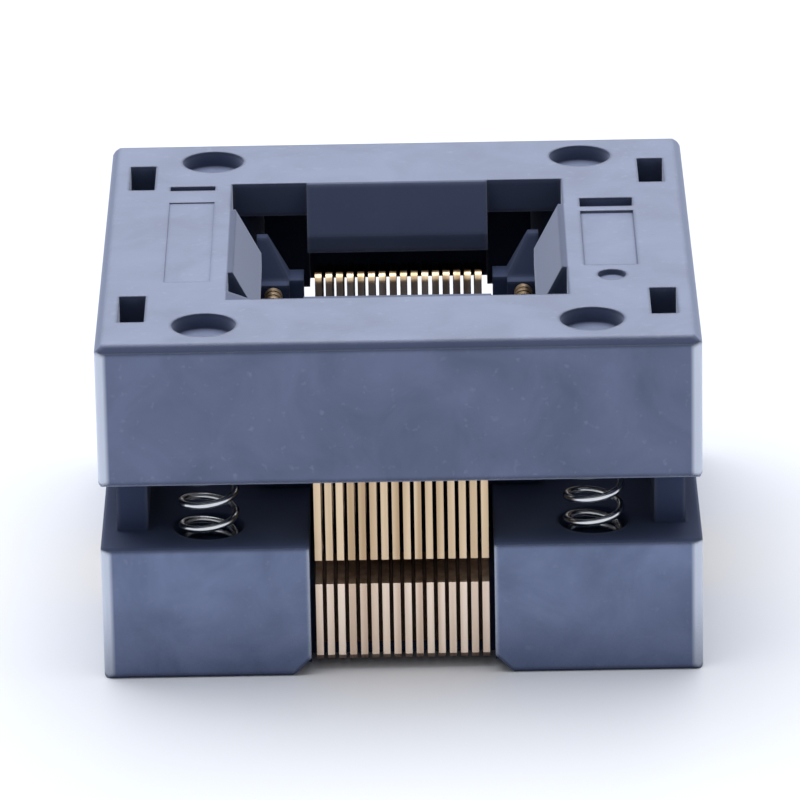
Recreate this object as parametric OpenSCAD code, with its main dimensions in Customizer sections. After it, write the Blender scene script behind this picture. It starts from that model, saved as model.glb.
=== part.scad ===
// Open-top test socket for a square flat package with leads on all four sides.
// A sprung lid slides down over the base, and rows of stamped contacts stand between them.
// z = 0 is the seat plane on the circuit board; the front faces -Y.

/* [Outline] */
// Width and depth of the lid and the base
body_w = 27; // [26:0.5:30]
// Radius of the upright outer edges
edge_r = 0.45; // [0.2:0.05:0.8]
// Bevel round the lid's top
top_bevel = 0.35; // [0.15:0.05:0.5]
// Bevel of the other outer edges
edge_bevel = 0.12; // [0.05:0.01:0.2]
// Height of the base above the board
base_h = 6.3; // [6:0.1:7]
// Open height between the base and the lid at rest
rest_gap = 3; // [2.9:0.1:3.6]
// Height of the lid
lid_h = 6.7; // [6.5:0.1:7.5]
// How far the lid can be pressed down
press_travel = 2.7; // [2:0.1:2.8]

/* [Lid] */
// Width of the square opening in the lid
aperture_w = 15.4; // [15.3:0.1:16]
// Cut across the opening's corner that marks pin one
pin_one_cut = 1.1; // [0.5:0.1:1.4]
// Thickness of the lid's top plate
plate_t = 1.6; // [1.2:0.1:2]
// Thickness of the lid's skirt
skirt_t = 1.75; // [1.5:0.05:1.9]
// Thickness of the skirt in front of the contacts and the latch rails
thin_wall = 0.55; // [0.45:0.05:0.7]
// How far the guide blocks reach past the row of contacts at each end
guide_over = 0.32; // [0.25:0.01:0.45]
// How far a guide block stands into the opening at the top
guide_proud = 0.2; // [0.1:0.05:0.3]
// How far the guide block's face leans in
guide_lean = 1.15; // [0.9:0.05:1.2]
// Height of the leaning part of the face
guide_lean_h = 2.2; // [1.6:0.1:2.6]
// Whole height of a guide block
guide_h = 3; // [2.8:0.05:3.1]
// Diameter of the round sinks in the lid's top
sink_d = 2.9; // [2.4:0.1:3.2]
// Depth of the round sinks
sink_depth = 0.7; // [0.4:0.1:1]
// Depth of the moulded panels in the lid's top
panel_depth = 0.12; // [0.05:0.01:0.2]

/* [Latches] */
// Distance of a latch slot's middle from the lid's right or left face
latch_edge_x = 1.55; // [1.5:0.01:1.6]
// Distance of a latch slot's middle from the lid's front or back face
latch_edge_y = 4.75; // [4.6:0.05:5]
// Width of a latch slot
latch_slot_w = 1.2; // [1.1:0.05:1.3]
// Length of a latch slot
latch_slot_l = 3.3; // [2.6:0.1:3.4]
// How far a latch hook reaches over its ledge
latch_hook = 0.2; // [0.15:0.01:0.22]
// Height of the hook's nose
latch_nose_h = 0.6; // [0.4:0.1:0.8]
// Height of the rail that carries the latch legs
rail_h = 2.6; // [2:0.1:2.7]

/* [Springs] */
// Distance of a spring's axis from the lid's right or left face
spring_edge_x = 4.83; // [4.7:0.01:4.9]
// Distance of a spring's axis from the lid's front or back face
spring_edge_y = 2.6; // [2.55:0.05:2.9]
// Outside diameter of a spring
spring_d = 2.8; // [2.4:0.1:2.9]
// Diameter of the spring wire
wire_d = 0.34; // [0.25:0.01:0.4]
// Turns of a spring
spring_turns = 9; // [6:1:10]
// Depth of the spring's well in the base
well_depth = 1; // [0.6:0.1:1.5]

/* [Contacts] */
// Contacts on each side
per_side = 16; // [8:2:16]
// Distance from one contact to the next
pitch = 0.5; // [0.48:0.01:0.5]
// Thickness of the strip that a contact is stamped from
strip_t = 0.32; // [0.24:0.01:0.34]
// Clearance of a contact on each side of its slot
slot_gap = 0.02; // [0.01:0.005:0.04]
// Height of the foot above the tail guide
foot_over = 0.1; // [0.05:0.05:0.3]
// Height of the foot's toe above the board
toe_z = 0.45; // [0.3:0.05:0.7]
// Height of the foot's top above the board
foot_top_z = 4.2; // [4:0.1:4.6]
// Width of the foot's neck where the bowed spring leaves it
bow_t = 0.6; // [0.45:0.05:0.7]
// How far the heel hangs below the top of the base
heel_drop = 0.95; // [0.5:0.05:1.2]
// Width of the heel
heel_w = 1; // [0.8:0.05:1]
// Height of the lever bar
lever_h = 0.9; // [0.7:0.05:1]
// Width of the riser beside the package's leads
riser_w = 0.38; // [0.32:0.01:0.4]
// Height of the hook's top above the lever bar
hook_h = 2.05; // [1.9:0.05:2.2]

/* [Package seat] */
// Width of the package body that the socket takes
package_w = 10; // [9.8:0.1:10.1]
// Clearance between the package and the corner posts
package_gap = 0.1; // [0.05:0.01:0.15]
// Height of the ledge that carries the package's leads
ledge_z = 9.9; // [9.8:0.1:10]
// Thickness of the nest plate
nest_t = 2.5; // [2:0.1:2.8]
// Outer width of the nest over its corner posts
nest_w = 13.2; // [12.8:0.1:13.4]
// Height of the corner posts above the ledge
post_h = 4; // [3.4:0.1:4.2]
// How far the lead-in of a corner post leans out
post_lean = 1; // [0.6:0.1:1.2]
// Height of the lead-in
post_lean_h = 1.8; // [1.2:0.1:2.2]
// Depth of the pocket under the package
pocket_depth = 0.5; // [0.3:0.1:0.8]

/* [Base] */
// Room between the end contacts and the window's sides
window_gap = 0.24; // [0.15:0.01:0.4]
// Cut across the window's lower corners
window_flare = 0.85; // [0.5:0.05:1.1]
// Depth of the window from the outer face
window_depth = 1.6; // [1.4:0.05:1.8]

/* [Tails and pegs] */
// Length of the tails below the seat plane
tail_l = 3; // [2.5:0.1:3.5]
// Width of a tail
tail_w = 0.3; // [0.25:0.01:0.35]
// Distance of the inner tail row from the middle
tail_in_r = 7.9; // [7.8:0.05:8.2]
// Distance of the outer tail row from the middle
tail_out_r = 10.4; // [10:0.05:10.4]
// Thickness of the tail guide plate
guide_plate_t = 0.9; // [0.7:0.05:0.95]
// How far the tail guide plate reaches past the outer tails
guide_plate_over = 0.5; // [0.4:0.05:0.6]
// Distance of a locating peg's axis from the base's faces
peg_edge = 1.55; // [1.5:0.05:1.6]
// Diameter of the front locating peg
peg_front_d = 1.8; // [1.6:0.1:1.9]
// Diameter of the back locating peg
peg_back_d = 1.5; // [1.3:0.1:1.6]
// Length of the locating pegs
peg_l = 2; // [1.5:0.1:2.4]

/* [Hidden] */
$fn = 48;
cut = 0.1;            // how far a cutter runs past a face
run_gap = 0.1;        // clearance beside what slides
seat_gap = 0.05;      // clearance where one piece drops into another
half = body_w / 2;
lid_z = base_h + rest_gap;
top_z = lid_z + lid_h;
spring_x = half - spring_edge_x;
spring_y = half - spring_edge_y;
latch_x = half - latch_edge_x;
latch_y = half - latch_edge_y;
peg_xy = half - peg_edge;
// the row of contacts sets the width of its window, guide block and notch
row_w = (per_side - 1) * pitch + strip_t;
window_w = row_w + 2 * window_gap;
guide_w = row_w + 2 * guide_over;
slot_w = strip_t + 2 * slot_gap;
aperture_r = aperture_w / 2;
guide_top_r = aperture_r - guide_proud;
guide_in_r = guide_top_r - guide_lean;
guide_z = top_z - guide_h;
// the contacts stand behind the thin part of the skirt
contact_r = half - thin_wall - seat_gap;
lever_top_z = guide_z - press_travel - 1.5 * run_gap;
lever_z = lever_top_z - lever_h;
heel_z = base_h - heel_drop;
riser_out_r = guide_in_r - run_gap;
riser_in_r = riser_out_r - riser_w;
hook_top_z = lever_top_z + hook_h;
// the bowed spring is half a ring between the foot and the lever
bow_in = (lever_z - foot_top_z) / 2;
bow_out = bow_in + bow_t;
bow_z = (lever_z + foot_top_z) / 2;
pedestal_w = nest_w - 6 * run_gap;
bow_r = pedestal_w / 2 + 6 * run_gap + bow_out;
foot_in_r = tail_in_r - 2 * tail_w;
foot_z = guide_plate_t + foot_over;
guide_plate_w = 2 * (tail_out_r + guide_plate_over);
toe_r = guide_plate_w / 2 + 3 * run_gap;
comb_top_z = foot_top_z - run_gap;
comb_r = half - window_depth;
nest_edge_r = riser_in_r - 0.7 * run_gap;
nest_notch_w = row_w + 8 * run_gap;
nest_z = ledge_z - nest_t;
post_z = ledge_z + post_h;
post_r = package_w / 2 + package_gap;
post_end = guide_w / 2 + 2 * run_gap;
nest_key_w = 4;
nest_key_h = 1;
// spring pockets, wells and bosses
pocket_d = spring_d + 4 * run_gap;
boss_d = pocket_d + 1.5;
pocket_top_z = top_z - sink_depth - 1;
well_z = base_h - well_depth;
ring_r = (spring_d - wire_d) / 2;
// latch rails, legs and hooks
rail_in_r = latch_x - latch_slot_w / 2 + run_gap / 2;
rail_out_r = half - thin_wall - 1.5 * run_gap;
rail_from = guide_w / 2 + 1.1;
rail_to = latch_y + latch_slot_l / 2 + 0.9;
rail_top_z = base_h + rail_h;
ledge_under_z = rail_top_z + press_travel + 1.5 * run_gap;
ledge_top_z = ledge_under_z + latch_nose_h;
leg_out_r = latch_x + latch_slot_w / 2 - latch_hook - seat_gap;
leg_l = latch_slot_l - 2 * run_gap;
nose_z = ledge_top_z + seat_gap;
guide_pocket_z = guide_plate_t + seat_gap;
peg_bevel = 0.25;
mark_edge = 0.8;      // distance of the moulded marks from the opening
bar_w = 2.45;         // bar, panel and dot on the right lip
bar_x = aperture_r + mark_edge + bar_w / 2;
bar_y = 4.4;
bar_l = 1.15;
bar_depth = 0.5;
panel_l = 7.2;
panel_y = bar_y - bar_l / 2 - 0.6 - panel_l / 2;
dot_d = 1.3;
dot_y = panel_y - panel_l / 2 - dot_d;
left_bar_w = 2.1;     // bar and blank field on the left lip
left_bar_l = 0.55;
left_bar_y = 7.2;
left_x = -(aperture_r + mark_edge + left_bar_w / 2);
field_l = 10.6;
SIDES = ["front", "right", "back", "left"];
PAIRS = [for (i = [0 : per_side / 2 - 1]) i];
CORNERS = [["front_left", -1, -1], ["front_right", 1, -1], ["back_right", 1, 1], ["back_left", -1, 1]];

// a square with round corners
module rounded_square(w, r) {
    square([w - 2 * r, w], center = true);
    square([w, w - 2 * r], center = true);
    for (x = [-1, 1], y = [-1, 1])
        translate([x * (w / 2 - r), y * (w / 2 - r)]) circle(r);
}

// bevels the bottom and top edges of an upright square block
module bevelled(w, low_z, high_z, low, high) {
    profile = [
        [low - w / 2, low_z], [w / 2 - low, low_z], [w / 2, low_z + low], [w / 2, high_z - high],
        [w / 2 - high, high_z], [high - w / 2, high_z], [-w / 2, high_z - high], [-w / 2, low_z + low]
    ];
    intersection() {
        children();
        rotate([90, 0, 0]) linear_extrude(height = 2 * w, center = true) polygon(profile);
        rotate([90, 0, 90]) linear_extrude(height = 2 * w, center = true) polygon(profile);
    }
}

// a block from corner to corner
module box_between(a, b) {
    translate(a) cube(b - a);
}

// an outline in (distance from the middle, height) is stood up on the front side and given a width
module along_side(w) {
    rotate([90, 0, -90]) linear_extrude(height = w, center = true) children();
}

// repeats what is made for the front on all four sides
module each_side() {
    for (a = [0 : 90 : 270]) rotate([0, 0, a]) children();
}

// the leaning guide block, which also holds the contacts' tops down
module guide_block() {
    along_side(guide_w) polygon([
        [guide_top_r, top_z],
        [guide_in_r, top_z - guide_lean_h],
        [guide_in_r, guide_z],
        [half - skirt_t + run_gap, guide_z],
        [half - skirt_t + run_gap, top_z]
    ]);
}

module latch_slot() {
    // wide above the ledge, narrower below it
    box_between([latch_x - latch_slot_w / 2, latch_y - latch_slot_l / 2, ledge_top_z],
                [latch_x + latch_slot_w / 2, latch_y + latch_slot_l / 2, top_z + cut]);
    box_between([latch_x - latch_slot_w / 2, latch_y - latch_slot_l / 2, ledge_under_z - cut],
                [leg_out_r + 0.7 * run_gap, latch_y + latch_slot_l / 2, ledge_top_z + cut]);
}

module rail_pocket() {
    box_between([rail_in_r - 1.5 * run_gap, rail_from - 2 * run_gap, lid_z - cut],
                [half - thin_wall, rail_to + 2 * run_gap, ledge_under_z]);
}

// shallow moulded marks on the lid's top
module lid_marks() {
    translate([bar_x - bar_w / 2, bar_y - bar_l / 2, top_z - bar_depth]) cube([bar_w, bar_l, bar_depth + cut]);
    translate([bar_x - bar_w / 2, panel_y - panel_l / 2, top_z - panel_depth])
        cube([bar_w, panel_l, panel_depth + cut]);
    translate([bar_x, dot_y, top_z - 2 * panel_depth]) cylinder(d = dot_d, h = 2 * panel_depth + cut);
    translate([left_x - left_bar_w / 2, left_bar_y - left_bar_l / 2, top_z - bar_depth])
        cube([left_bar_w, left_bar_l, bar_depth + cut]);
    translate([left_x - left_bar_w / 2, -field_l / 2, top_z - panel_depth / 2])
        cube([left_bar_w, field_l, panel_depth]);
}

module lid() {
    color("#566078") bevelled(body_w, lid_z, top_z, edge_bevel, top_bevel) difference() {
        union() {
            // skirt
            translate([0, 0, lid_z]) linear_extrude(height = lid_h) difference() {
                rounded_square(body_w, edge_r);
                square(body_w - 2 * skirt_t, center = true);
            }
            // top plate with the opening
            translate([0, 0, top_z - plate_t]) linear_extrude(height = plate_t) difference() {
                square(body_w - skirt_t, center = true);
                difference() {
                    square(aperture_w, center = true);
                    translate([-aperture_r, -aperture_r]) rotate(45)
                        square(pin_one_cut * sqrt(2), center = true);
                }
            }
            each_side() guide_block();
            // bosses that hold the springs' upper ends
            for (c = CORNERS) translate([c[1] * spring_x, c[2] * spring_y, lid_z]) cylinder(d = boss_d, h = lid_h - plate_t / 2);
        }
        // pockets that clear the contacts' heels
        each_side() box_between([-guide_w / 2, -(half - thin_wall), lid_z - cut], [guide_w / 2, -(guide_in_r - cut), guide_z]);
        for (c = CORNERS) {
            translate([c[1] * spring_x, c[2] * spring_y, lid_z - cut]) cylinder(d = pocket_d, h = pocket_top_z - lid_z + cut);
            translate([c[1] * spring_x, c[2] * spring_y, top_z - sink_depth]) cylinder(d = sink_d, h = sink_depth + cut);
            scale([c[1], c[2], 1]) latch_slot();
            scale([c[1], c[2], 1]) rail_pocket();
        }
        lid_marks();
    }
}

// a latch leg with its hook, on a rail beside the contact window
module latch() {
    box_between([rail_in_r, rail_from, base_h - cut], [rail_out_r, rail_to, rail_top_z]);
    translate([0, latch_y + leg_l / 2, 0]) rotate([90, 0, 0]) linear_extrude(height = leg_l) polygon([
        [rail_in_r, base_h],
        [leg_out_r, base_h],
        [leg_out_r, nose_z],
        [leg_out_r + latch_hook, nose_z],
        [leg_out_r + latch_hook, nose_z + latch_nose_h / 2],
        [leg_out_r - latch_hook, nose_z + latch_nose_h],
        [rail_in_r, nose_z + latch_nose_h]
    ]);
}

module peg(d) {
    translate([0, 0, -peg_l]) cylinder(d1 = d - 2 * peg_bevel, d2 = d, h = peg_bevel);
    translate([0, 0, peg_bevel - peg_l]) cylinder(d = d, h = peg_l - peg_bevel + cut);
}

// everything cut from one side of the base for its row of contacts
module base_side_cuts() {
    box_between([-window_w / 2, -(half + cut), -cut], [window_w / 2, -comb_r, base_h + cut]);
    box_between([-window_w / 2, -(comb_r + cut), comb_top_z], [window_w / 2, -pedestal_w / 2, base_h + cut]);
    // open under the feet, as far in as the tail guide
    box_between([-window_w / 2, -(comb_r + cut), -cut],
                [window_w / 2, -guide_plate_w / 2, guide_pocket_z]);
    // flared lower corners of the window
    translate([0, -comb_r, 0]) rotate([90, 0, 0]) linear_extrude(height = window_depth + cut) polygon([
        [-window_w / 2 - window_flare - cut, -cut],
        [-window_w / 2, window_flare],
        [window_w / 2, window_flare],
        [window_w / 2 + window_flare + cut, -cut]
    ]);
    // slots of the comb
    for (i = [0 : per_side - 1])
        translate([contact_x(i) - slot_w / 2, -(comb_r + cut), -cut])
            cube([slot_w, comb_r + cut - foot_in_r + run_gap, base_h]);
}

module base() {
    color("#5b6580") difference() {
        union() {
            bevelled(body_w, 0, base_h, edge_bevel, edge_bevel)
                linear_extrude(height = base_h) rounded_square(body_w, edge_r);
            translate([-pedestal_w / 2, -pedestal_w / 2, 0]) cube([pedestal_w, pedestal_w, nest_z]);
            for (c = CORNERS) scale([c[1], c[2], 1]) latch();
            translate([-peg_xy, -peg_xy, 0]) peg(peg_front_d);
            translate([peg_xy, peg_xy, 0]) peg(peg_back_d);
        }
        each_side() base_side_cuts();
        for (c = CORNERS) translate([c[1] * spring_x, c[2] * spring_y, well_z])
            cylinder(d = pocket_d, h = well_depth + cut);
        // bed of the tail guide and recess for the nest's key
        box_between([-guide_plate_w / 2 - seat_gap, -guide_plate_w / 2 - seat_gap, -cut],
                    [guide_plate_w / 2 + seat_gap, guide_plate_w / 2 + seat_gap, guide_pocket_z]);
        box_between([-nest_key_w / 2 - seat_gap, -nest_key_w / 2 - seat_gap, nest_z - nest_key_h - seat_gap],
                    [nest_key_w / 2 + seat_gap, nest_key_w / 2 + seat_gap, nest_z + cut]);
    }
}

module ic_nest() {
    color("#3c4658") difference() {
        union() {
            translate([-nest_w / 2, -nest_w / 2, nest_z]) cube([nest_w, nest_w, nest_t]);
            translate([-nest_key_w / 2, -nest_key_w / 2, nest_z - nest_key_h]) cube([nest_key_w, nest_key_w, nest_key_h + cut]);
            // corner posts
            for (c = CORNERS) scale([c[1], c[2], 1])
                box_between([post_end, post_end, ledge_z - cut], [nest_w / 2, nest_w / 2, post_z]);
        }
        // room for the package between the posts
        box_between([-post_r, -post_r, ledge_z], [post_r, post_r, post_z + cut]);
        each_side() along_side(nest_w + 2 * cut) polygon([
            [0, post_z - post_lean_h],
            [post_r, post_z - post_lean_h],
            [post_r + post_lean, post_z],
            [post_r + post_lean, post_z + cut],
            [0, post_z + cut]
        ]);
        // notches for the contacts' risers
        each_side() box_between([-nest_notch_w / 2, -(nest_w / 2 + cut), nest_z - cut],
                                [nest_notch_w / 2, -nest_edge_r, ledge_z + cut]);
        translate([0, 0, ledge_z - pocket_depth]) linear_extrude(height = pocket_depth + cut)
            square(package_w - 14 * run_gap, center = true);
    }
}

module tail_guide() {
    color("#3c4658") difference() {
        translate([-guide_plate_w / 2, -guide_plate_w / 2, 0]) cube([guide_plate_w, guide_plate_w, guide_plate_t]);
        each_side() for (i = [0 : per_side - 1])
            translate([contact_x(i) - slot_w / 2, -tail_r(i) - tail_w / 2 - seat_gap, -cut])
                cube([slot_w, tail_w + 2 * seat_gap, guide_plate_t + 2 * cut]);
    }
}

// place of contact i along its side, and of its tail from the middle: the tails alternate
function contact_x(i) = (i - (per_side - 1) / 2) * pitch;
function tail_r(i) = i % 2 == 0 ? tail_out_r : tail_in_r;

// outline of one contact as (distance from the middle, height)
module contact_outline(tail) {
    nose_r = (riser_w + 0.46) / 2;
    tip_r = riser_out_r - 2 * nose_r;
    // foot and tail
    polygon([
        [foot_in_r, foot_z],
        [toe_r, foot_z],
        [toe_r, toe_z],
        [contact_r - 0.3, toe_z],
        [contact_r, toe_z + 0.3],
        [contact_r, foot_top_z],
        [foot_in_r, foot_top_z]
    ]);
    polygon([
        [tail - tail_w / 2, foot_z + cut],
        [tail - tail_w / 2, 0.25 - tail_l],
        [tail - 0.05, -tail_l],
        [tail + 0.05, -tail_l],
        [tail + tail_w / 2, 0.25 - tail_l],
        [tail + tail_w / 2, foot_z + cut]
    ]);
    // bowed spring
    translate([bow_r, bow_z]) difference() {
        circle(bow_out);
        circle(bow_in);
        translate([0, -2 * bow_out]) square(4 * bow_out);
    }
    // lever bar with its heel
    translate([contact_r - heel_w / 2, lever_top_z - heel_w / 2]) circle(heel_w / 2);
    polygon([
        [riser_in_r, lever_z + riser_w],
        [riser_in_r + riser_w, lever_z],
        [contact_r - heel_w, lever_z],
        [contact_r - heel_w, heel_z + 0.3],
        [contact_r - heel_w + 0.3, heel_z],
        [contact_r, heel_z],
        [contact_r, lever_top_z - heel_w / 2],
        [contact_r - heel_w / 2, lever_top_z],
        [riser_in_r, lever_top_z]
    ]);
    // riser, nose and the beak that holds a lead down
    translate([riser_in_r, lever_z + riser_w]) square([riser_w, hook_top_z - nose_r - lever_z - riser_w]);
    translate([riser_out_r - nose_r, hook_top_z - nose_r]) circle(nose_r);
    polygon([
        [tip_r, hook_top_z - nose_r],
        [tip_r, ledge_z + 0.7],
        [tip_r + 0.14, ledge_z + 0.4],
        [tip_r + 0.28, ledge_z + 0.7],
        [tip_r + 0.3, hook_top_z - nose_r]
    ]);
}

// two neighbours of one row: the first has the outer tail, the second the inner one
module contact_pair(side, pair) {
    color("#d8bd8a") rotate([0, 0, 90 * side]) for (i = [2 * pair, 2 * pair + 1])
        translate([contact_x(i), 0, 0]) along_side(strip_t) contact_outline(tail_r(i));
}

// a coil spring swept as one closed tube; its end turns lie closer, as ground ends do
coil_steps = 16;
coil_sides = 6;
spring_l = pocket_top_z - well_z;
coil_n = spring_turns * coil_steps;
function coil_z(t) =
    let (body = spring_l - 3 * wire_d, s = min(max((t - 1) / (spring_turns - 2), 0), 1))
    wire_d / 2 + wire_d * min(t, 1) + body * s + wire_d * max(t - spring_turns + 1, 0);
function coil_point(k, j) =
    let (t = k / coil_steps, a = 360 * t, b = 360 * j / coil_sides, r = ring_r + wire_d / 2 * cos(b))
    [r * cos(a), r * sin(a), coil_z(t) + wire_d / 2 * sin(b)];

module coil_spring() {
    points = [for (k = [0 : coil_n]) for (j = [0 : coil_sides - 1]) coil_point(k, j)];
    faces = concat(
        [[for (j = [0 : coil_sides - 1]) j]],
        [for (k = [0 : coil_n - 1]) for (j = [0 : coil_sides - 1])
            let (n = (j + 1) % coil_sides, p = k * coil_sides)
            [p + j, p + coil_sides + j, p + coil_sides + n, p + n]],
        [[for (j = [coil_sides - 1 : -1 : 0]) coil_n * coil_sides + j]]
    );
    polyhedron(points, faces);
}

module spring(x, y) {
    color("#c9ccd2") translate([x * spring_x, y * spring_y, well_z]) coil_spring();
}

base();
lid();
ic_nest();
tail_guide();
for (c = CORNERS) spring(c[1], c[2]);
for (s = [0 : 3]) for (i = PAIRS)
    contact_pair(s, i);
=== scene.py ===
import math
import bpy
from mathutils import Matrix, Vector


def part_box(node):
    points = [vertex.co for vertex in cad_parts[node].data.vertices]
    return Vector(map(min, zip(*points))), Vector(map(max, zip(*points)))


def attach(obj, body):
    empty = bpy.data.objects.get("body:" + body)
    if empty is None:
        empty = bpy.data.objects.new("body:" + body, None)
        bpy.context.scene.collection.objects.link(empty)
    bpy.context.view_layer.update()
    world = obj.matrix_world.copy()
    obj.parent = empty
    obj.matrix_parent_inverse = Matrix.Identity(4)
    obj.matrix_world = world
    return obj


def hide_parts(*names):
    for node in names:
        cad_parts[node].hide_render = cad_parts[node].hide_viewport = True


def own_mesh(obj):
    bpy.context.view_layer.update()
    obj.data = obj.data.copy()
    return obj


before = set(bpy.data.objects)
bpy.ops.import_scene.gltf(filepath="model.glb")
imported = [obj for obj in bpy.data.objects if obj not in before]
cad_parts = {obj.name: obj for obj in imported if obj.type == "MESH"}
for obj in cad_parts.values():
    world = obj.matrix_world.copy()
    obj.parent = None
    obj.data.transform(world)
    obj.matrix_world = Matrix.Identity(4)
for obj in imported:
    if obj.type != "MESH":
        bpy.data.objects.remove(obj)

mm = 0.001
scene = bpy.context.scene
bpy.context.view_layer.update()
print("frame: %d nodes loaded" % len(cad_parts))


# small helpers

def hexToLinear(code):
    parts = [int(code[i:i + 2], 16) / 255 for i in (1, 3, 5)]
    return [c / 12.92 if c <= 0.04045 else ((c + 0.055) / 1.055) ** 2.4 for c in parts] + [1.0]


def addNode(tree, kind, settings=None, links=None):
    # settings are attributes or socket values, links are socket: (node, output)
    node = tree.nodes.new(kind)
    for name, value in (settings or {}).items():
        if isinstance(name, str) and hasattr(node, name):
            setattr(node, name, value)
        else:
            node.inputs[name].default_value = value
    for socket, (source, output) in (links or {}).items():
        tree.links.new(source.outputs[output], node.inputs[socket])
    return node


def newMaterial(name):
    material = bpy.data.materials.new(name)
    material.use_nodes = True
    material.node_tree.nodes.clear()
    return material, material.node_tree


def perMillimetre(size):
    # a texture scale that repeats about once in this many millimetres
    return 1 / (size * mm)


# Polyphenylene sulphide with glass fibre, injection moulded in a spark-eroded tool:
# a fine even grain, faint cloudy flow marks, pale fibre specks, upright corners rubbed lighter and given a
# painted highlight, a painted highlight paling level tops, and painted shade in recesses, on inner faces and
# on sloping ones
lidPlastic = {
    "name": "mouldedPpsLid",
    # the pale rubbed colour also serves as a painted highlight, and the recess colour is painted shade
    "colour": "#626F93", "cloud": "#4D5A7B", "rubbedAndLit": "#D6DFF2", "fleck": "#8391AE", "recess": "#0D2145",
    "roughness": 0.36, "glossSpread": (-0.05, 0.07), "innerRoughness": 0.85,
    "ior": 1.6, "specular": 0.4, "sheen": 0.74, "sheenRoughness": 0.5, "sheenTint": "#D0DAF6",
    "cloudMm": 3.4, "cloudRange": (0.35, 0.7),
    "fleckMm": 0.45, "fleckRange": (0.62, 0.76), "fleckShare": 0.35,
    "grainMm": 0.16, "grainDepthMm": 0.012, "grainStrength": 0.35,
    "edgeMm": 0.32, "edgeRange": (0.995, 0.86), "uprightRange": (0.5, 0.2), "wearAndHighlight": 1.0,
    "cornerMm": (12.96, 13.16),  # from the middle, where the rubbed and highlighted corner starts and is full
    "pressed": 0.09, "levelRange": (0.8, 0.98),  # share of pale colour painted on level faces as a highlight on the top
    "recessMm": 8.0, "openRange": (0.3, 0.75),
    "innerHalfMm": 7.76, "innerAboveMm": 99.0,  # inside this half width, or above this height, is inner
    "innerUnshadedShare": 0.18,  # share of the plain colour kept on inner faces; the rest is painted shade
    "slopeUnshadedShare": 0.1, "slopeRange": (0.27, 0.1),  # and on sloping ones, where the rest is also painted shade
    # the brown for the comb is a painted reflection of the gold contacts
    "goldReflection": "#6A5140", "combHalfMm": -1.0, "combFromMm": 9.0,  # a half width below 0 is no comb
    "blurMm": 0.04,  # half the width over which one tone runs into the next
}
basePlastic = dict(
    lidPlastic, name="mouldedPpsBase", colour="#7483AA", cloud="#5C6B90", cloudMm=3.0, sheen=0.05,
    innerAboveMm=6.2, innerUnshadedShare=0.12, combHalfMm=3.95, pressed=0.0,
)
nestPlastic = dict(
    lidPlastic, name="mouldedPpsNest", colour="#44516B", cloud="#3B4760", rubbedAndLit="#6F7D98",
    fleck="#515E78", cornerMm=(98.88, 99.08), sheen=0.05, roughness=0.42, cloudMm=3.0, wearAndHighlight=0.4, pressed=0.0,
)


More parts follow.
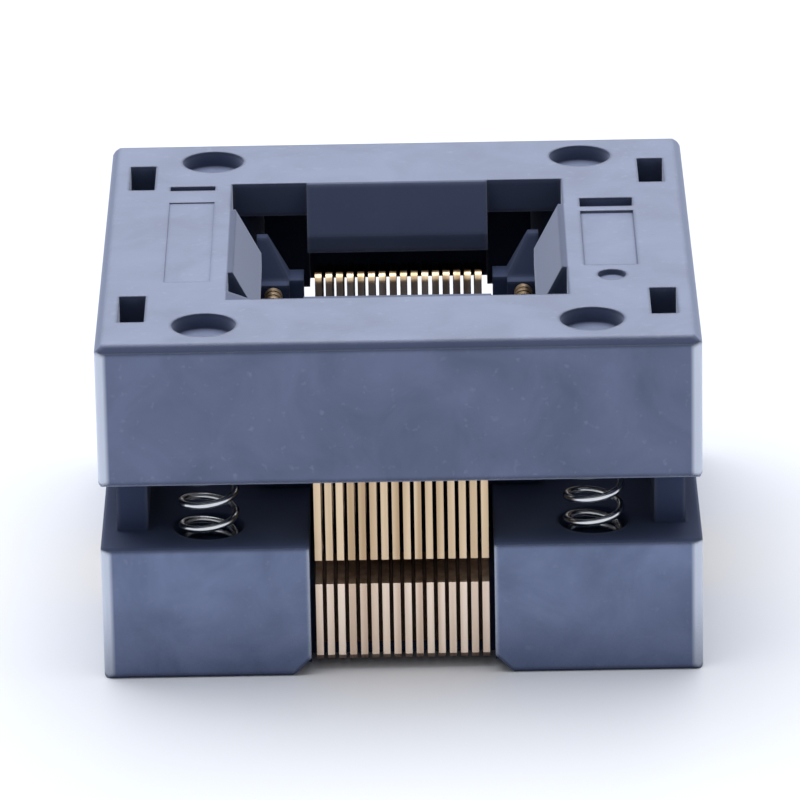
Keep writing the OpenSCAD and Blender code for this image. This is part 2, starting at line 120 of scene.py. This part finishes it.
def makeMouldedPlastic(look):
    material, tree = newMaterial(look["name"])
    blur = look["blurMm"]
    place = addNode(tree, "ShaderNodeTexCoord")
    axes = addNode(tree, "ShaderNodeSeparateXYZ", None, {"Vector": (place, "Object")})
    across = addNode(tree, "ShaderNodeMath", {"operation": "ABSOLUTE"}, {0: (axes, "X")})
    along = addNode(tree, "ShaderNodeMath", {"operation": "ABSOLUTE"}, {0: (axes, "Y")})

    # flow marks and fibre specks
    cloud = addNode(
        tree, "ShaderNodeTexNoise",
        {"Scale": perMillimetre(look["cloudMm"]), "Detail": 4.0, "Roughness": 0.55, "Distortion": 0.6},
        {"Vector": (place, "Object")},
    )
    cloudShare = addNode(
        tree, "ShaderNodeMapRange", {"From Min": look["cloudRange"][0], "From Max": look["cloudRange"][1]},
        {"Value": (cloud, "Fac")},
    )
    fleck = addNode(
        tree, "ShaderNodeTexNoise", {"Scale": perMillimetre(look["fleckMm"]), "Detail": 2.0},
        {"Vector": (place, "Object")},
    )
    fleckShare = addNode(
        tree, "ShaderNodeMapRange",
        {"From Min": look["fleckRange"][0], "From Max": look["fleckRange"][1], "To Max": look["fleckShare"]},
        {"Value": (fleck, "Fac")},
    )
    clouded = addNode(
        tree, "ShaderNodeMix",
        {"data_type": "RGBA", 6: hexToLinear(look["colour"]), 7: hexToLinear(look["cloud"])},
        {0: (cloudShare, "Result")},
    )
    flecked = addNode(
        tree, "ShaderNodeMix", {"data_type": "RGBA", 7: hexToLinear(look["fleck"])},
        {0: (fleckShare, "Result"), 6: (clouded, 2)},
    )

    # where the rounded normal leaves the flat one, and at the body's corners, upright edges are painted
    # paler, partly rubbed wear and partly a painted highlight, and level faces are painted a little paler all
    # over, a painted highlight on the top
    rounded = addNode(tree, "ShaderNodeBevel", {"samples": 6, "Radius": look["edgeMm"] * mm})
    flat = addNode(tree, "ShaderNodeNewGeometry")
    facing = addNode(
        tree, "ShaderNodeVectorMath", {"operation": "DOT_PRODUCT"},
        {0: (rounded, "Normal"), 1: (flat, "Normal")},
    )
    edge = addNode(
        tree, "ShaderNodeMapRange",
        {"From Min": look["edgeRange"][0], "From Max": look["edgeRange"][1], "To Max": look["wearAndHighlight"]},
        {"Value": (facing, "Value")},
    )
    outermost = addNode(
        tree, "ShaderNodeMath", {"operation": "MINIMUM"}, {0: (across, "Value"), 1: (along, "Value")}
    )
    bodyCorner = addNode(
        tree, "ShaderNodeMapRange",
        {
            "From Min": look["cornerMm"][0] * mm, "From Max": look["cornerMm"][1] * mm,
            "To Max": look["wearAndHighlight"],
        },
        {"Value": (outermost, "Value")},
    )
    rubbedAndLit = addNode(
        tree, "ShaderNodeMath", {"operation": "MAXIMUM"}, {0: (edge, "Result"), 1: (bodyCorner, "Result")}
    )
    tilt = addNode(tree, "ShaderNodeSeparateXYZ", None, {"Vector": (rounded, "Normal")})
    level = addNode(tree, "ShaderNodeMath", {"operation": "ABSOLUTE"}, {0: (tilt, "Z")})
    upright = addNode(
        tree, "ShaderNodeMapRange",
        {"From Min": look["uprightRange"][0], "From Max": look["uprightRange"][1]},
        {"Value": (level, "Value")},
    )
    uprightWearAndHighlight = addNode(
        tree, "ShaderNodeMath", {"operation": "MULTIPLY"}, {0: (rubbedAndLit, "Value"), 1: (upright, "Result")}
    )
    pressed = addNode(
        tree, "ShaderNodeMapRange",
        {"From Min": look["levelRange"][0], "From Max": look["levelRange"][1], "To Max": look["pressed"]},
        {"Value": (level, "Value")},
    )
    wornAndTopLit = addNode(
        tree, "ShaderNodeMath", {"operation": "MAXIMUM"}, {0: (uprightWearAndHighlight, "Value"), 1: (pressed, "Result")}
    )
    wornAndLit = addNode(
        tree, "ShaderNodeMix", {"data_type": "RGBA", 7: hexToLinear(look["rubbedAndLit"])},
        {0: (wornAndTopLit, "Value"), 6: (flecked, 2)},
    )

    # painted shade: recesses found by ambient occlusion, faces inside the socket and sloping ones are
    # darkened to a deep blue
    openness = addNode(
        tree, "ShaderNodeAmbientOcclusion", {"samples": 8, "Distance": look["recessMm"] * mm}
    )
    exposed = addNode(
        tree, "ShaderNodeMapRange", {"From Min": look["openRange"][0], "From Max": look["openRange"][1]},
        {"Value": (openness, "AO")},
    )
    reach = addNode(
        tree, "ShaderNodeMath", {"operation": "MAXIMUM"}, {0: (across, "Value"), 1: (along, "Value")}
    )
    outer = addNode(
        tree, "ShaderNodeMapRange",
        {
            "From Min": (look["innerHalfMm"] - blur) * mm, "From Max": (look["innerHalfMm"] + blur) * mm,
            "To Min": look["innerUnshadedShare"],
        },
        {"Value": (reach, "Value")},
    )
    lower = addNode(
        tree, "ShaderNodeMapRange",
        {
            "From Min": (look["innerAboveMm"] + blur) * mm, "From Max": (look["innerAboveMm"] - blur) * mm,
            "To Min": look["innerUnshadedShare"],
        },
        {"Value": (axes, "Z")},
    )
    outsideInnerShade = addNode(
        tree, "ShaderNodeMath", {"operation": "MULTIPLY"}, {0: (outer, "Result"), 1: (lower, "Result")}
    )
    # folding the level value at its half makes level and upright faces both come out near 0
    slope = addNode(tree, "ShaderNodeMath", {"operation": "PINGPONG", 1: 0.5}, {0: (level, "Value")})
    square = addNode(
        tree, "ShaderNodeMapRange",
        {"From Min": look["slopeRange"][0], "From Max": look["slopeRange"][1], "To Min": look["slopeUnshadedShare"]},
        {"Value": (slope, "Value")},
    )
    placeUnshaded = addNode(
        tree, "ShaderNodeMath", {"operation": "MINIMUM"}, {0: (outsideInnerShade, "Value"), 1: (square, "Result")}
    )
    unshaded = addNode(
        tree, "ShaderNodeMath", {"operation": "MULTIPLY"}, {0: (placeUnshaded, "Value"), 1: (exposed, "Result")}
    )
    shadePainted = addNode(
        tree, "ShaderNodeMix", {"data_type": "RGBA", 6: hexToLinear(look["recess"])},
        {0: (unshaded, "Value"), 7: (wornAndLit, 2)},
    )

    # the comb between the contacts is tinted brown, a painted reflection of the gold contacts
    inRow = addNode(
        tree, "ShaderNodeMapRange",
        {"From Min": (look["combHalfMm"] + blur) * mm, "From Max": (look["combHalfMm"] - blur) * mm},
        {"Value": (outermost, "Value")},
    )
    inComb = addNode(
        tree, "ShaderNodeMapRange",
        {"From Min": (look["combFromMm"] - blur) * mm, "From Max": (look["combFromMm"] + blur) * mm},
        {"Value": (reach, "Value")},
    )
    comb = addNode(
        tree, "ShaderNodeMath", {"operation": "MULTIPLY"}, {0: (inRow, "Result"), 1: (inComb, "Result")}
    )
    reflectionTinted = addNode(
        tree, "ShaderNodeMix", {"data_type": "RGBA", 7: hexToLinear(look["goldReflection"])},
        {0: (comb, "Value"), 6: (shadePainted, 2)},
    )

    # roughness follows the same mask: faces painted in shade are rougher, the others keep the moulding's
    # gloss
    low, high = look["glossSpread"]
    smooth = addNode(
        tree, "ShaderNodeMapRange",
        {"To Min": look["roughness"] + low, "To Max": look["roughness"] + high}, {"Value": (cloud, "Fac")},
    )
    roughness = addNode(
        tree, "ShaderNodeMapRange", {"To Min": look["innerRoughness"]},
        {"Value": (unshaded, "Value"), "To Max": (smooth, "Result")},
    )
    grain = addNode(
        tree, "ShaderNodeTexNoise", {"Scale": perMillimetre(look["grainMm"]), "Detail": 3.0},
        {"Vector": (place, "Object")},
    )
    bump = addNode(
        tree, "ShaderNodeBump", {"Strength": look["grainStrength"], "Distance": look["grainDepthMm"] * mm},
        {"Height": (grain, "Fac"), "Normal": (rounded, "Normal")},
    )
    surface = addNode(
        tree, "ShaderNodeBsdfPrincipled",
        {
            "IOR": look["ior"], "Specular IOR Level": look["specular"], "Sheen Weight": look["sheen"],
            "Sheen Roughness": look["sheenRoughness"], "Sheen Tint": hexToLinear(look["sheenTint"]),
        },
        {"Base Color": (reflectionTinted, 2), "Roughness": (roughness, "Result"), "Normal": (bump, "Normal")},
    )
    addNode(tree, "ShaderNodeOutputMaterial", None, {"Surface": (surface, "BSDF")})
    return material


# Beryllium copper strip, stamped and gold plated: satin gold with fine lines along the strip,
# and the colour shifting a little from one contact to the next
contactGold = {
    "name": "stampedGoldPlatedCopper",
    "colour": "#E0C8A8", "shade": "#B99D7C", "footColour": "#F2DECB", "footShade": "#D2B8A2",
    "footTopMm": (4.4, 4.8), "roughness": 0.34, "glossSpread": (-0.06, 0.1),
    # the recess brown is painted shade, laid where ambient occlusion is strong
    "recess": "#6B4A3C", "recessMm": 6.0, "openFrom": 0.5,
    "stripMm": 0.5, "toneRange": (0.35, 0.65), "stripFlattening": 0.02,
    "lineMm": 0.05, "lineLengthMm": 2.0, "lineDepthMm": 0.004, "lineStrength": 0.3, "edgeMm": 0.03,
}


def makeContactGold(look):
    material, tree = newMaterial(look["name"])
    place = addNode(tree, "ShaderNodeTexCoord")
    # one tone for each strip: the height is flattened out of the pattern
    strip = addNode(
        tree, "ShaderNodeMapping", {"Scale": (1.0, 1.0, look["stripFlattening"])},
        {"Vector": (place, "Object")},
    )
    tone = addNode(
        tree, "ShaderNodeTexNoise", {"Scale": perMillimetre(look["stripMm"]), "Detail": 1.0},
        {"Vector": (strip, "Vector")},
    )
    toneShare = addNode(
        tree, "ShaderNodeMapRange", {"From Min": look["toneRange"][0], "From Max": look["toneRange"][1]},
        {"Value": (tone, "Fac")},
    )
    upper = addNode(
        tree, "ShaderNodeMix",
        {"data_type": "RGBA", 6: hexToLinear(look["colour"]), 7: hexToLinear(look["shade"])},
        {0: (toneShare, "Result")},
    )
    foot = addNode(
        tree, "ShaderNodeMix",
        {"data_type": "RGBA", 6: hexToLinear(look["footColour"]), 7: hexToLinear(look["footShade"])},
        {0: (toneShare, "Result")},
    )
    # the feet, below footTopMm, take a paler, pinker colour
    axes = addNode(tree, "ShaderNodeSeparateXYZ", None, {"Vector": (place, "Object")})
    above = addNode(
        tree, "ShaderNodeMapRange",
        {"From Min": look["footTopMm"][0] * mm, "From Max": look["footTopMm"][1] * mm},
        {"Value": (axes, "Z")},
    )
    plated = addNode(
        tree, "ShaderNodeMix", {"data_type": "RGBA"},
        {0: (above, "Result"), 6: (foot, 2), 7: (upper, 2)},
    )
    drawn = addNode(
        tree, "ShaderNodeMapping", {"Scale": (1.0, 1.0, look["lineMm"] / look["lineLengthMm"])},
        {"Vector": (place, "Object")},
    )
    lines = addNode(
        tree, "ShaderNodeTexNoise", {"Scale": perMillimetre(look["lineMm"]), "Detail": 2.0},
        {"Vector": (drawn, "Vector")},
    )
    rounded = addNode(tree, "ShaderNodeBevel", {"samples": 4, "Radius": look["edgeMm"] * mm})
    bump = addNode(
        tree, "ShaderNodeBump", {"Strength": look["lineStrength"], "Distance": look["lineDepthMm"] * mm},
        {"Height": (lines, "Fac"), "Normal": (rounded, "Normal")},
    )
    low, high = look["glossSpread"]
    gloss = addNode(
        tree, "ShaderNodeMapRange", {"To Min": look["roughness"] + low, "To Max": look["roughness"] + high},
        {"Value": (lines, "Fac")},
    )
    # painted shade: deep between the strips and down in the opening, ambient occlusion darkens the gold to
    # brown
    openness = addNode(
        tree, "ShaderNodeAmbientOcclusion", {"samples": 8, "Distance": look["recessMm"] * mm}
    )
    exposed = addNode(
        tree, "ShaderNodeMapRange", {"From Min": 0.0, "From Max": look["openFrom"]},
        {"Value": (openness, "AO")},
    )
    aoShadedGold = addNode(
        tree, "ShaderNodeMix", {"data_type": "RGBA", 6: hexToLinear(look["recess"])},
        {0: (exposed, "Result"), 7: (plated, 2)},
    )
    surface = addNode(
        tree, "ShaderNodeBsdfPrincipled", {"Metallic": 1.0},
        {"Base Color": (aoShadedGold, 2), "Roughness": (gloss, "Result"), "Normal": (bump, "Normal")},
    )
    addNode(tree, "ShaderNodeOutputMaterial", None, {"Surface": (surface, "BSDF")})
    return material


# Stainless spring wire, drawn through a die: bright, with faint lines round the draw
springWire = {
    "name": "drawnStainlessWire",
    "colour": "#D2D5DA", "roughness": 0.2, "glossSpread": (-0.05, 0.1),
    "lineMm": 0.06, "lineDepthMm": 0.003, "lineStrength": 0.25,
}


def makeSpringWire(look):
    material, tree = newMaterial(look["name"])
    place = addNode(tree, "ShaderNodeTexCoord")
    lines = addNode(
        tree, "ShaderNodeTexNoise", {"Scale": perMillimetre(look["lineMm"]), "Detail": 2.0},
        {"Vector": (place, "Object")},
    )
    bump = addNode(
        tree, "ShaderNodeBump", {"Strength": look["lineStrength"], "Distance": look["lineDepthMm"] * mm},
        {"Height": (lines, "Fac")},
    )
    low, high = look["glossSpread"]
    gloss = addNode(
        tree, "ShaderNodeMapRange", {"To Min": look["roughness"] + low, "To Max": look["roughness"] + high},
        {"Value": (lines, "Fac")},
    )
    surface = addNode(
        tree, "ShaderNodeBsdfPrincipled", {"Metallic": 1.0, "Base Color": hexToLinear(look["colour"])},
        {"Roughness": (gloss, "Result"), "Normal": (bump, "Normal")},
    )
    addNode(tree, "ShaderNodeOutputMaterial", None, {"Surface": (surface, "BSDF")})
    return material


materials = {
    "lid": makeMouldedPlastic(lidPlastic),
    "base": makeMouldedPlastic(basePlastic),
    "nest": makeMouldedPlastic(nestPlastic),
    "contact": makeContactGold(contactGold),
    "spring": makeSpringWire(springWire),
}
print("materials: %d made" % len(materials))


# finishes of the rigid pieces

def finishOf(node):
    if node.startswith("contacts"):
        return materials["contact"]
    return {"lid": materials["lid"], "base": materials["base"]}.get(node, materials["nest"])


for node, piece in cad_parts.items():
    if not node.startswith("spring"):
        piece.data.materials.clear()
        piece.data.materials.append(finishOf(node))
print("finishes: given to the rigid pieces")


# return springs, with round wire and end turns that lie closed

springs = {
    "corners": ["front_left", "front_right", "back_right", "back_left"],
    "wireMm": 0.34, "turns": 9, "stepsPerTurn": 40, "wireSides": 12,
    "joint": "lid_press", "travelMm": 2.7,
}


def makeSpring(name, low, high, look):
    wire = look["wireMm"] * mm
    centre = (Vector(low) + Vector(high)) / 2
    coilRadius = (high[0] - low[0] - wire) / 2
    length, turns = high[2] - low[2], look["turns"]
    openLength = length - 3 * wire
    steps, sides = turns * look["stepsPerTurn"], look["wireSides"]
    points, faces = [], []
    for step in range(steps + 1):
        turn = step / look["stepsPerTurn"]
        share = min(max((turn - 1) / (turns - 2), 0), 1)
        height = wire / 2 + wire * min(turn, 1) + openLength * share + wire * max(turn - turns + 1, 0)
        angle = 2 * math.pi * turn
        for side in range(sides):
            around = 2 * math.pi * side / sides
            reach = coilRadius + wire / 2 * math.cos(around)
            points.append((
                centre.x + reach * math.cos(angle), centre.y + reach * math.sin(angle),
                low[2] + height + wire / 2 * math.sin(around),
            ))
    for step in range(steps):
        for side in range(sides):
            here, there = step * sides, (step + 1) * sides
            after = (side + 1) % sides
            faces.append((here + side, there + side, there + after, here + after))
    faces.append(tuple(range(sides)))
    faces.append(tuple(steps * sides + side for side in reversed(range(sides))))
    mesh = bpy.data.meshes.new(name)
    mesh.from_pydata(points, [], faces)
    mesh.shade_smooth()
    mesh.materials.append(materials["spring"])
    spring = bpy.data.objects.new(name, mesh)
    scene.collection.objects.link(spring)
    return spring


for corner in springs["corners"]:
    node = "spring_" + corner
    low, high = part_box(node)
    spring = makeSpring("coil_" + corner, low, high, springs)
    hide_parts(node)
    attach(spring, "base_body")
    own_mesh(spring)
print("springs: %d wound" % len(springs["corners"]))


# floor, light and camera

studio = {
    "floorColour": "#E4E8F0", "floorHalf": 3.0, "floorRoughness": 0.6,
    "skyColour": "#FFFFFF", "skyFill": 0.38,
    "keyPower": 7.4, "keySize": 0.8, "keyPlace": (-0.06, 0.18, 0.73),
}


def makeFloor(look):
    half = look["floorHalf"]
    mesh = bpy.data.meshes.new("floor")
    corners = [(-half, -half, 0), (half, -half, 0), (half, half, 0), (-half, half, 0)]
    mesh.from_pydata(corners, [], [(0, 1, 2, 3)])
    material, tree = newMaterial("paleTable")
    surface = addNode(
        tree, "ShaderNodeBsdfPrincipled",
        {"Base Color": hexToLinear(look["floorColour"]), "Roughness": look["floorRoughness"]},
    )
    addNode(tree, "ShaderNodeOutputMaterial", None, {"Surface": (surface, "BSDF")})
    mesh.materials.append(material)
    floor = bpy.data.objects.new("floor", mesh)
    scene.collection.objects.link(floor)


def makeWorld(look):
    # white where it is seen or mirrored, and a weaker even fill for everything else
    world = bpy.data.worlds.new("studioWorld")
    world.use_nodes = True
    scene.world = world
    tree = world.node_tree
    tree.nodes.clear()
    ray = addNode(tree, "ShaderNodeLightPath")
    mirrored = addNode(
        tree, "ShaderNodeMath", {"operation": "MAXIMUM"},
        {0: (ray, "Is Camera Ray"), 1: (ray, "Is Glossy Ray")},
    )
    seen = addNode(
        tree, "ShaderNodeMath", {"operation": "MAXIMUM"},
        {0: (mirrored, "Value"), 1: (ray, "Is Transmission Ray")},
    )
    strength = addNode(
        tree, "ShaderNodeMapRange", {"To Min": look["skyFill"], "To Max": 1.0}, {"Value": (seen, "Value")}
    )
    sky = addNode(
        tree, "ShaderNodeBackground", {"Color": hexToLinear(look["skyColour"])},
        {"Strength": (strength, "Result")},
    )
    addNode(tree, "ShaderNodeOutputWorld", None, {"Surface": (sky, "Background")})


def addSoftBox(name, place, size, power):
    light = bpy.data.lights.new(name, "AREA")
    light.shape, light.size, light.energy = "SQUARE", size, power
    lamp = bpy.data.objects.new(name, light)
    lamp.location = place
    lamp.rotation_euler = (-Vector(place)).to_track_quat("-Z", "Y").to_euler()
    scene.collection.objects.link(lamp)


makeFloor(studio)
makeWorld(studio)
addSoftBox("keySoftBox", studio["keyPlace"], studio["keySize"], studio["keyPower"])
scene.view_settings.view_transform = "Standard"
print("studio: floor, world and soft box")

eye = {
    "azimuth": 0.2, "elevation": 21.3, "roll": -1.05, "distance": 0.345,
    "aim": (0.0, 0.0, 0.008), "frameWidth": 0.0371,
}


def makeCamera(look):
    azimuth, elevation = math.radians(look["azimuth"]), math.radians(look["elevation"])
    back = Vector((
        math.sin(azimuth) * math.cos(elevation), -math.cos(azimuth) * math.cos(elevation), math.sin(elevation)
    ))
    data = bpy.data.cameras.new("camera")
    data.sensor_width = 36
    data.lens = data.sensor_width * look["distance"] / look["frameWidth"]
    data.clip_start, data.clip_end = 0.01, 20
    camera = bpy.data.objects.new("camera", data)
    turn = (-back).to_track_quat("-Z", "Y").to_matrix().to_4x4()
    tilt = Matrix.Rotation(math.radians(look["roll"]), 4, "Z")
    camera.matrix_world = Matrix.Translation(Vector(look["aim"]) + back * look["distance"]) @ turn @ tilt
    scene.collection.objects.link(camera)
    scene.camera = camera


makeCamera(eye)
print("camera: ready")
